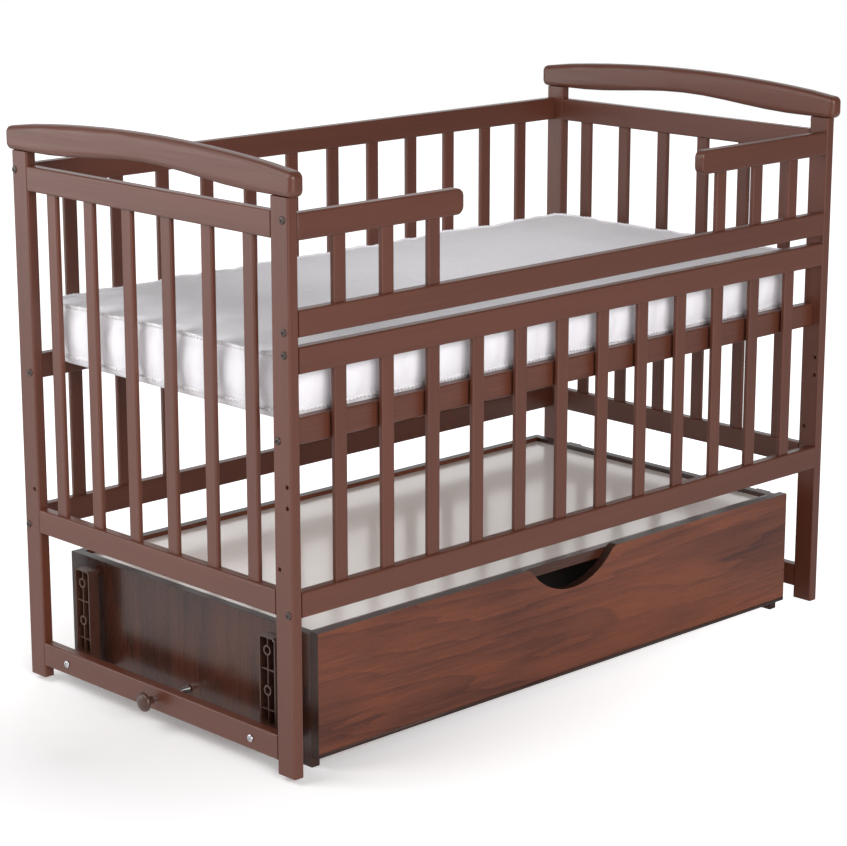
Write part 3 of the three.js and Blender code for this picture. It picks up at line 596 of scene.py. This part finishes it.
class CRIB_OT_timber(bpy.types.Operator):
    """Stained and lacquered beech on every timber of the crib, with the grain along each piece"""

    bl_idname = "crib.timber"
    bl_label = "Timber"

    def execute(self, context):
        along = {axis: cached(stained_beech, axis) for axis in "xyz"}
        open_grain = cached(stained_beech, "x", True)
        for end, _ in ENDS:
            for side in SIDES:
                dress(f"post_{side}_{end}", along["z"])
            for name in ("cap", "end_upper_rail", "foot_rail"):
                dress(f"{name}_{end}", along["y"])
            dress(f"guard_top_rail_{end}", along["x"])
        for name in ("rear_top_rail", "front_top_rail"):
            dress(name, along["x"])
        for name in ("base_rail_front", "base_rail_rear"):
            dress(name, open_grain)
        slatted = {
            "end_slats_with_lower_rail_left": "y",
            "end_slats_with_lower_rail_right": "y",
            "rear_slats_with_lower_rail": "x",
            "front_slats_with_lower_rail": "x",
            "guard_slats_with_lower_rail": "x",
        }
        for name, axis in slatted.items():
            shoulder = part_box(name)[0].z + RAIL_HEIGHT + 0.1 * MM
            dress(name, along[axis], along["z"], choose=lambda c, n, z=shoulder: int(c.z > z))
        return {"FINISHED"}


class CRIB_OT_base_slats(bpy.types.Operator):
    """Raw birch plywood slats under the mattress, with eased edges"""

    bl_idname = "crib.base_slats"
    bl_label = "Base slats"

    def execute(self, context):
        for name in sorted(n for n in NODES if n.startswith("base_slat_")):
            dress(name, cached(birch_plywood), bevel=1.2 * MM)
        return {"FINISHED"}


class CRIB_OT_cabinet(bpy.types.Operator):
    """Walnut laminate on the cabinet's boards, dark edging, and the white top panel"""

    bl_idname = "crib.cabinet"
    bl_label = "Cabinet"

    def execute(self, context):
        finish = context.scene.crib_finishes
        # the sides and the inner front rail take the darker copy of the walnut print: painted shade
        shadow = (tuple(finish.side_dark), tuple(finish.side_light))
        upright = walnut_laminate("Walnut laminate, upright", "z", "y", 0.05, 0.2, *shadow)
        level = level_walnut(finish)
        band = cached(edge_banding)
        for end, _ in ENDS:
            dress(f"cabinet_side_{end}", upright, band, choose=faces_off("x"), bevel=0.5 * MM)
        dress("cabinet_back", level, band, choose=faces_off("y"), bevel=0.5 * MM)
        inner = walnut_laminate("Walnut laminate, inner", "x", "z", 0.034, 0.4, *shadow)
        dress("cabinet_front_rail", inner, bevel=0.5 * MM)
        dress("cabinet_floor", level, bevel=0.5 * MM)
        dress("cabinet_top", white_board(finish), bevel=0.3 * MM)
        return {"FINISHED"}


class CRIB_OT_drawer(bpy.types.Operator):
    """Glossy walnut drawer front with its edging, a dark strip along its foot, and the pale drawer box"""

    bl_idname = "crib.drawer"
    bl_label = "Drawer"

    def execute(self, context):
        finish = context.scene.crib_finishes
        level, band = level_walnut(finish), cached(edge_banding)
        dress("drawer_front", level, band, choose=faces_off("y"), bevel=0.6 * MM)
        low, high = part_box("drawer_front")
        lip, foot, lap = low.y - 0.7 * MM, low.z - 0.8 * MM, low.z + 5 * MM
        inside, under, heel = low.y + 0.2 * MM, low.z + 0.2 * MM, high.y - 0.5 * MM
        # a dark strip in the edging's material: its lip over the foot of the front, then its flat under the
        # board
        profile = [
            (lip + 0.3 * MM, foot), (lip, foot + 0.4 * MM), (lip, low.z + 4.6 * MM), (lip + 0.3 * MM, lap),
            (inside, lap), (inside, under), (heel, under), (heel, foot),
        ]
        count = len(profile)
        ends = (low.x + 0.4 * MM, high.x - 0.4 * MM)
        vertices = [Vector((x, y, z)) for x in ends for y, z in profile]
        faces = [[k, (k + 1) % count, (k + 1) % count + count, k + count] for k in range(count)]
        faces += [list(range(count))[::-1], list(range(count, 2 * count))]
        new_piece("drawer_front_edging", vertices, faces, band, "drawer", "walnut_laminate")
        melamine = cached(lacquered_board, "Melamine faced chipboard", tuple(finish.drawer_board), 0.45, 0.1)
        for name in ("drawer_side_left", "drawer_side_right", "drawer_back"):
            dress(name, melamine, bevel=0.4 * MM)
        dress("drawer_bottom", white_board(finish), bevel=0.3 * MM)
        return {"FINISHED"}


class CRIB_OT_plastic(bpy.types.Operator):
    """Moulded brown plastic on the pendulum arms, the lock knobs and the drawer runners"""

    bl_idname = "crib.plastic"
    bl_label = "Plastic"

    def execute(self, context):
        for name in sorted(NODES):
            if name.startswith(("arm_", "lock_knob_", "drawer_runner_")):
                dress(name, cached(moulded_plastic))
        return {"FINISHED"}


class CRIB_OT_pins(bpy.types.Operator):
    """Zinc-plated steel on the pivot pins and the lock pins"""

    bl_idname = "crib.pins"
    bl_label = "Pins"

    def execute(self, context):
        zinc = zinc_steel(context.scene.crib_finishes)
        for name in sorted(NODES):
            if name.startswith(("pivot_pin_", "lock_pin_")):
                dress(name, zinc)
        return {"FINISHED"}


class CRIB_OT_screws(bpy.types.Operator):
    """Pan head screws that carry the crib on its arms, each with a cross recess"""

    bl_idname = "crib.screws"
    bl_label = "Screws"

    def execute(self, context):
        size, zinc = context.scene.crib_hardware, zinc_steel(context.scene.crib_finishes)
        long, wide = size.recess_length, size.recess_width

        def cross(t):
            from_bar = (t + math.pi / 4) % (math.pi / 2) - math.pi / 4
            if abs(math.tan(from_bar)) <= wide / long:
                return long / math.cos(from_bar)
            return wide / abs(math.sin(from_bar))

        for end, sx in ENDS:
            for side in SIDES:
                node = f"pivot_screw_{side}_{end}"
                low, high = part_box(node)
                middle = (low + high) / 2
                head = (high.z - low.z) / 2
                shank, thick = head * 0.48, 2.6 * MM
                outer, inner = (low.x, high.x) if sx < 0 else (high.x, low.x)
                reach = abs(outer - inner) - thick
                rings = [(shank * 0.7, 0), (shank, 1.5 * MM), (shank, reach), (head * 0.96, reach)]
                rings += [
                    (head * math.cos(a) ** 0.6, reach + thick * (0.25 + 0.75 * math.sin(a)))
                    for a in (0, 0.25, 0.5, 0.75)
                ]
                top = reach + thick * 0.97
                rings += [(long * 1.12, top), (cross, top), (lambda t: 0.8 * cross(t), top - 1.3 * MM)]
                start = (inner, middle.y, middle.z)
                vertices, faces = turned(rings, 48, start, sx)
                obj = new_piece(f"pan_head_screw_{side}_{end}", vertices, faces, zinc, "crib", "zinc_steel")
                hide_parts(node)
                split_edges(obj, TURNED_EDGE)
        return {"FINISHED"}


class CRIB_OT_bolts(bpy.types.Operator):
    """Domed heads of the frame bolts on the posts, each with a hexagon socket"""

    bl_idname = "crib.bolts"
    bl_label = "Bolts"

    def execute(self, context):
        size, finish = context.scene.crib_hardware, context.scene.crib_finishes
        steel = cached(turned_steel, "Burnished steel", tuple(finish.bolt), 0.34, 0.5)
        flat = size.bolt_socket / 2

        def hexagon(t):
            return flat / math.cos((t % (math.pi / 3)) - math.pi / 6)

        # on each post: how far forward or back, and how high, in millimetres, and the body it rides on
        places = {
            "front": [(-320, 849, "crib"), (-320, 687, "crib"), (-320, 654, "crib"), (-323, 264, "crib"),
                      (-304, 525, "base")],
            "rear": [(325, 851, "crib"), (323, 268, "crib"), (304, 525, "base")],
        }
        face = abs(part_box("post_front_left")[0].x)
        for end, sx in ENDS:
            for side in SIDES:
                for number, (y, z, body) in enumerate(places[side], 1):
                    r, h = size.bolt_radius, size.bolt_height
                    rim = 0.5 * MM
                    rings = [(r * 0.98, 0.05 * MM), (r, rim)]
                    rings += [
                        (r * math.cos(a), rim + (h - rim) * math.sin(a)) for a in (0.25, 0.5, 0.75, 1.0)
                    ]
                    top = rim + (h - rim) * math.sin(1.0)
                    rings += [(hexagon, top), (hexagon, top - 1.1 * MM)]
                    vertices, faces = turned(rings, 36, (sx * face, y * MM, z * MM), sx)
                    name = f"bolt_head_{side}_{end}_{number}"
                    obj = new_piece(name, vertices, faces, steel, body, "zinc_steel")
                    split_edges(obj, TURNED_EDGE)
        return {"FINISHED"}


def ring_place(x, y, half_x, half_y, radius):
    """A point of a rectangle's grid moved so that each ring of the grid is a rounded rectangle."""
    t = max(abs(x) / half_x, abs(y) / half_y)
    if t < 1e-9:
        return 0.0, 0.0, 0.0
    by_long_side = abs(x) / half_x < abs(y) / half_y
    if by_long_side:
        x, y, half_x, half_y = y, x, half_y, half_x
    a, b, r = half_x * t, half_y * t, radius * t
    straight = b - r
    s = abs(y) / b * (straight + r * math.pi / 4)
    if s <= straight:
        px, py = a, s
    else:
        turn = (s - straight) / r
        px, py = a - r + r * math.cos(turn), straight + r * math.sin(turn)
    px, py = math.copysign(px, x), math.copysign(py, y)
    return (py, px, t) if by_long_side else (px, py, t)


def mattress_mesh(settings):
    """The cover before it is filled: vertices, faces, how firmly the foam holds each vertex, and the
    vertices of the top and bottom seams in order round the mattress."""
    low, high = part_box("mattress")
    half_x, half_y = high.x - 1 * MM, high.y - 1 * MM
    radius, cell = 45 * MM, settings.cell
    nx, ny = round(2 * half_x / cell / 2) * 2, round(2 * half_y / cell / 2) * 2
    top_z, hem_z = high.z - settings.seam_drop, low.z + settings.hem
    vertices, hold = [], []
    grid = {}

    def sheet(tag, shrink, z_of, firm):
        for j in range(ny + 1):
            for i in range(nx + 1):
                x = (i / nx * 2 - 1) * half_x
                y = (j / ny * 2 - 1) * half_y
                px, py, t = ring_place(x, y, half_x, half_y, radius)
                grid[tag, i, j] = len(vertices)
                vertices.append(Vector((px * (1 - shrink / half_x), py * (1 - shrink / half_y), z_of(t))))
                hold.append(1.0 if t > 0.9999 else firm)

    sheet("top", 0, lambda t: top_z + 1.5 * MM * (1 - t**8), 0.35)
    edge_path = [(i, 0) for i in range(nx)] + [(nx, j) for j in range(ny)]
    edge_path += [(i, ny) for i in range(nx, 0, -1)] + [(0, j) for j in range(ny, 0, -1)]
    rows = [[grid["top", i, j] for i, j in edge_path]]
    outline = [vertices[v].copy() for v in rows[0]]
    band = 9
    levels = [(top_z + (hem_z - top_z) * k / band, 0.0, 0.05) for k in range(1, band)]
    levels += [(hem_z, 0.0, 1.0), (low.z + 9 * MM, 1.2 * MM, 0.6), (low.z + 3.4 * MM, 4 * MM, 1.0)]
    for z, inset, firm in levels:
        row = []
        for p in outline:
            row.append(len(vertices))
            vertices.append(Vector((p.x * (1 - inset / half_x), p.y * (1 - inset / half_y), z)))
            hold.append(firm)
        rows.append(row)
    sheet("low", 9 * MM, lambda t: low.z + 0.3 * MM, 1.0)
    rows.append([grid["low", i, j] for i, j in edge_path])
    faces = []
    for j in range(ny):
        for i in range(nx):
            quad = [(i, j), (i + 1, j), (i + 1, j + 1), (i, j + 1)]
            faces.append([grid["top", *c] for c in quad])
            faces.append([grid["low", *c] for c in reversed(quad)])
    for upper, lower in zip(rows, rows[1:]):
        for k in range(len(upper)):
            n = (k + 1) % len(upper)
            faces.append([upper[n], upper[k], lower[k], lower[n]])
    return vertices, faces, hold, rows[0], rows[band]


def fill_cover(obj, hold, settings):
    """Blows the cover up against its seams as cloth, and keeps each vertex near where it began."""
    scene = bpy.context.scene
    group = obj.vertex_groups.new(name="held")
    for i, weight in enumerate(hold):
        group.add([i], weight, "REPLACE")
    cloth = obj.modifiers.new("Cover", "CLOTH")
    s = cloth.settings
    s.quality = 6
    s.mass = 0.3
    s.tension_stiffness = 12
    s.compression_stiffness = 12
    s.shear_stiffness = 6
    s.bending_stiffness = 0.35
    s.shrink_min = -0.012
    s.use_pressure = True
    s.uniform_pressure_force = settings.pressure
    s.vertex_group_mass = group.name
    s.pin_stiffness = 1.0
    s.effector_weights.gravity = 0
    cloth.point_cache.frame_start, cloth.point_cache.frame_end = 1, settings.steps
    for step in range(1, settings.steps + 1):
        scene.frame_set(step)
    shape = obj.evaluated_get(bpy.context.evaluated_depsgraph_get()).to_mesh()
    moved = [v.co.copy() for v in shape.vertices]
    obj.modifiers.remove(cloth)
    scene.frame_set(1)
    for v, target in zip(obj.data.vertices, moved):
        step = target - v.co
        if step.length > settings.most_swell:
            step *= settings.most_swell / step.length
        v.co += step


def ripple(point, along_x, along_y, seed):
    """Smooth noise with so many cells to the metre along X and Y."""
    return noise.noise(Vector((point.x * along_x, point.y * along_y, seed)))


def fade(distance, reach):
    """What is left, at a distance, of a crease that dies away over a reach."""
    return math.exp(-distance / reach)


def pucker_cover(obj, settings):
    """Puckers the cover along its seams, waves it between them, and crowns its top."""
    low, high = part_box("mattress")
    seam_z = high.z - settings.seam_drop
    obj.data.update()
    normals = [v.normal.copy() for v in obj.data.vertices]
    for v, normal in zip(obj.data.vertices, normals):
        c = v.co
        outside = max(abs(c.x) - 0.57, abs(c.y) - 0.27) > 0
        if outside and low.z + 6 * MM < c.z < seam_z + 1 * MM:
            from_seam, from_hem = abs(c.z - seam_z), abs(c.z - low.z - settings.hem)
            near = fade(min(from_seam, from_hem), 0.016)
            pleat = noise.noise(Vector(((c.x + c.y * 1.3) * 38, c.y * 20, c.z * 9 + 3)))
            swell = ripple(c, 5, 5, 7.1)
            rise = 3.4 * ripple(c, 15, 15, 2.2) * fade(from_seam, 0.012)
            rise += 3 * ripple(c, 15, 15, 8.2) * fade(from_hem, 0.01)
            v.co += normal * (pleat * (1.0 + 2.6 * near) + swell * 1.6) * MM
            v.co.z += rise * MM
        elif c.z > seam_z - 1 * MM:
            rim = min(0.6 - abs(c.x), 0.294 - abs(c.y))
            near = fade(rim, 0.035) * (1 - fade(rim, 0.008))
            pucker, wave = ripple(c, 26, 26, 1.7), ripple(c, 4.2, 4.2, 5.3)
            crown = 3.2 * (1 - min(1, abs(c.x) / 0.6) ** 4) * (1 - min(1, abs(c.y) / 0.29) ** 4)
            rise = 3.4 * ripple(c, 15, 15, 2.2) * fade(rim, 0.02)
            rise += 2.2 * ripple(c, 5, 45, 4.4) * fade(rim, 0.12)
            v.co.z += (rise + pucker * 4.5 * near + wave * 3.4 * (1 - near) + crown) * MM
    obj.data.update()


def zigzag(line, outward, settings):
    """Points of a thread that zigzags over the piping."""
    points = []
    total = sum((line[i] - line[i - 1]).length for i in range(len(line)))
    half = total / (2 * round(total / settings.stitch))
    walked, target, flip = 0.0, 0.0, 1
    count = len(line)
    for i in range(count):
        a, b = line[i], line[(i + 1) % count]
        oa, ob = outward[i], outward[(i + 1) % count]
        length = (b - a).length
        while target < walked + length and target < total - half * 0.5:
            f = (target - walked) / length
            o = oa.lerp(ob, f)
            across = o * (settings.piping * FIN_SLIMNESS + 0.4 * MM) * (0.35 if flip > 0 else 1)
            points.append(a.lerp(b, f) + across + Vector((0, 0, flip * settings.piping)))
            target += half
            flip = -flip
        walked += length
    return points


class CRIB_OT_mattress(bpy.types.Operator):
    """Foam mattress in its knitted cover, filled as cloth, with overlocked seams round its edges"""

    bl_idname = "crib.mattress"
    bl_label = "Mattress"

    def execute(self, context):
        settings = context.scene.crib_mattress
        vertices, faces, hold, top_ring, hem_ring = mattress_mesh(settings)
        cover = cached(knitted_cover)
        obj = new_piece("mattress_cover", vertices, faces, cover, "mattress", "mattress_cover")
        fill_cover(obj, hold, settings)
        pucker_cover(obj, settings)
        finer = obj.modifiers.new("Finer", "SUBSURF")
        finer.levels = finer.render_levels = 1
        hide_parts("mattress")
        shape = obj.evaluated_get(context.evaluated_depsgraph_get()).to_mesh()
        thread = cached(overlock_thread)
        for name, ring in (("top", top_ring), ("hem", hem_ring)):
            line = [shape.vertices[v].co.copy() for v in ring]
            outward = [
                Vector((p.x - max(-0.5, min(0.5, p.x)), p.y - max(-0.2, min(0.2, p.y)), 0)).normalized()
                for p in line
            ]
            # the fin stands off the seam, and ripples where the thread draws it together
            lean = Vector((0, 0, 1.6 * MM)) if name == "top" else Vector((0, 0, -1.2 * MM))
            fin = []
            for p, o in zip(line, outward):
                wave = ripple(p, 34, 34, lean.z * 900)
                fin.append(p + lean * (1 + 0.8 * wave) + o * (0.9 + 1.1 * wave) * MM)
            piping = tube(fin, settings.piping * FIN_SLIMNESS, 10, 1 / FIN_SLIMNESS)
            new_piece(f"mattress_{name}_piping", *piping, cover, "mattress", "mattress_cover")
            stitches = tube(zigzag(fin, outward, settings), THREAD_RADIUS, 5)
            new_piece(f"mattress_{name}_overlock", *stitches, thread, "mattress", "mattress_cover")
        return {"FINISHED"}


# ---------- floor, light and camera ----------


class CRIB_OT_stage(bpy.types.Operator):
    """Pale round floor, soft studio light and the camera"""

    bl_idname = "crib.stage"
    bl_label = "Stage"

    def execute(self, context):
        scene, stage = context.scene, context.scene.crib_stage
        scene.view_settings.view_transform = "Standard"
        self.floor(stage)
        self.surroundings(scene)
        for *softbox, power in SOFTBOXES:
            self.softbox(*softbox, getattr(stage, power))
        turn, dip = math.radians(stage.azimuth), math.radians(stage.pitch)
        ahead = Vector((-math.sin(turn) * math.cos(dip), math.cos(turn) * math.cos(dip), -math.sin(dip)))
        data = bpy.data.cameras.new("Camera")
        data.sensor_width = 36
        data.lens = stage.lens
        camera = bpy.data.objects.new("Camera", data)
        camera.location = CAMERA_PLACE
        camera.rotation_mode = "QUATERNION"
        camera.rotation_quaternion = ahead.to_track_quat("-Z", "Y")
        scene.collection.objects.link(camera)
        scene.camera = camera
        return {"FINISHED"}

    def floor(self, stage):
        made = bmesh.new()
        bmesh.ops.create_circle(made, cap_ends=True, segments=96, radius=stage.floor_radius)
        mesh = bpy.data.meshes.new("Floor")
        made.to_mesh(mesh)
        made.free()
        material, tree, place = start_material("Painted studio floor")
        mottle = add(tree, "ShaderNodeTexNoise", {"Vector": place, "Scale": 3.3, "Detail": 2.0})
        colour = add(
            tree, "ShaderNodeMix", {"Factor": mottle, "A": linear("#f4f3f4"), "B": linear("#f7f6f6")},
            data_type="RGBA",
        )
        # the floor's own glow is what the eye sees, and it paints the crib's shadow: the glow is least by the
        # crib's left foot, where the shadow lies
        away = add(tree, "ShaderNodeVectorMath", {0: place, 1: (-0.8, 0, 0)}, operation="DISTANCE")
        look = add(
            tree, "ShaderNodeMapRange",
            {"Value": away.outputs["Value"], "From Min": 0.0, "From Max": 1.4, "To Max": stage.glow_far},
        )
        ray = add(tree, "ShaderNodeLightPath").outputs["Is Camera Ray"]
        glow = add(tree, "ShaderNodeMix", {"Factor": ray, "A": stage.glow, "B": look})
        shader = add(tree, "ShaderNodeBsdfPrincipled", {
            "Base Color": colour, "Roughness": 0.75, "Specular IOR Level": 0.2,
            "Emission Color": (1.0, 1.0, 1.0, 1.0), "Emission Strength": glow,
        })
        add(tree, "ShaderNodeOutputMaterial", {"Surface": shader})
        mesh.materials.append(material)
        floor = bpy.data.objects.new("Floor", mesh)
        bpy.context.scene.collection.objects.link(floor)

    def surroundings(self, scene):
        """White to look at, and dimmer for the light that it gives, apart from the lit wall behind
        the crib."""
        world = bpy.data.worlds.new("Studio")
        scene.world = world
        world.use_nodes = True
        tree = world.node_tree
        tree.nodes.clear()
        way = add(tree, "ShaderNodeTexCoord").outputs["Generated"]
        towards = add(tree, "ShaderNodeVectorMath", {0: way, 1: (0.68, 0.72, 0.14)}, operation="DOT_PRODUCT")
        level = add(
            tree, "ShaderNodeMapRange",
            {
                "Value": towards.outputs["Value"], "From Min": 0.55, "From Max": 0.9,
                "To Min": scene.crib_stage.room, "To Max": scene.crib_stage.backdrop,
            },
            interpolation_type="SMOOTHSTEP",
        )
        lit = add(tree, "ShaderNodeBackground", {"Color": (1, 1, 1, 1), "Strength": level})
        seen = add(tree, "ShaderNodeBackground", {"Color": (1, 1, 1, 1), "Strength": 1.0})
        ray = add(tree, "ShaderNodeLightPath").outputs["Is Camera Ray"]
        mixed = add(tree, "ShaderNodeMixShader", {0: ray, 1: lit.outputs[0], 2: seen.outputs[0]})
        add(tree, "ShaderNodeOutputWorld", {"Surface": mixed})

    def softbox(self, name, place, target, width, height, power):
        data = bpy.data.lights.new(name, "AREA")
        data.shape = "RECTANGLE"
        data.size, data.size_y, data.energy = width, height, power
        light = bpy.data.objects.new(name, data)
        light.location = place
        light.rotation_mode = "QUATERNION"
        light.rotation_quaternion = (Vector(target) - Vector(place)).to_track_quat("-Z", "Y")
        light.visible_camera = False
        bpy.context.scene.collection.objects.link(light)


# ---------- panel and registration ----------

PIECES = (
    CRIB_OT_timber,
    CRIB_OT_base_slats,
    CRIB_OT_cabinet,
    CRIB_OT_drawer,
    CRIB_OT_plastic,
    CRIB_OT_pins,
    CRIB_OT_screws,
    CRIB_OT_bolts,
    CRIB_OT_mattress,
    CRIB_OT_stage,
)
GROUPS = {
    "crib_finishes": CribFinishes,
    "crib_hardware": CribHardware,
    "crib_mattress": CribMattress,
    "crib_stage": CribStage,
}


class CRIB_PT_panel(bpy.types.Panel):
    """Lists the crib's pieces"""

    bl_idname = "CRIB_PT_panel"
    bl_label = "Crib"
    bl_space_type = "VIEW_3D"
    bl_region_type = "UI"
    bl_category = "Crib"

    def draw(self, context):
        for piece in PIECES:
            self.layout.operator(piece.bl_idname)


def register():
    for group in GROUPS.values():
        bpy.utils.register_class(group)
    for name, group in GROUPS.items():
        setattr(bpy.types.Scene, name, bpy.props.PointerProperty(type=group))
    for piece in (*PIECES, CRIB_PT_panel):
        bpy.utils.register_class(piece)


def unregister():
    for piece in reversed((*PIECES, CRIB_PT_panel)):
        bpy.utils.unregister_class(piece)
    for name, group in GROUPS.items():
        delattr(bpy.types.Scene, name)
        bpy.utils.unregister_class(group)


def main():
    register()
    for piece in PIECES:
        family, name = piece.bl_idname.split(".")
        getattr(getattr(bpy.ops, family), name)()


if __name__ == "__main__":
    main()
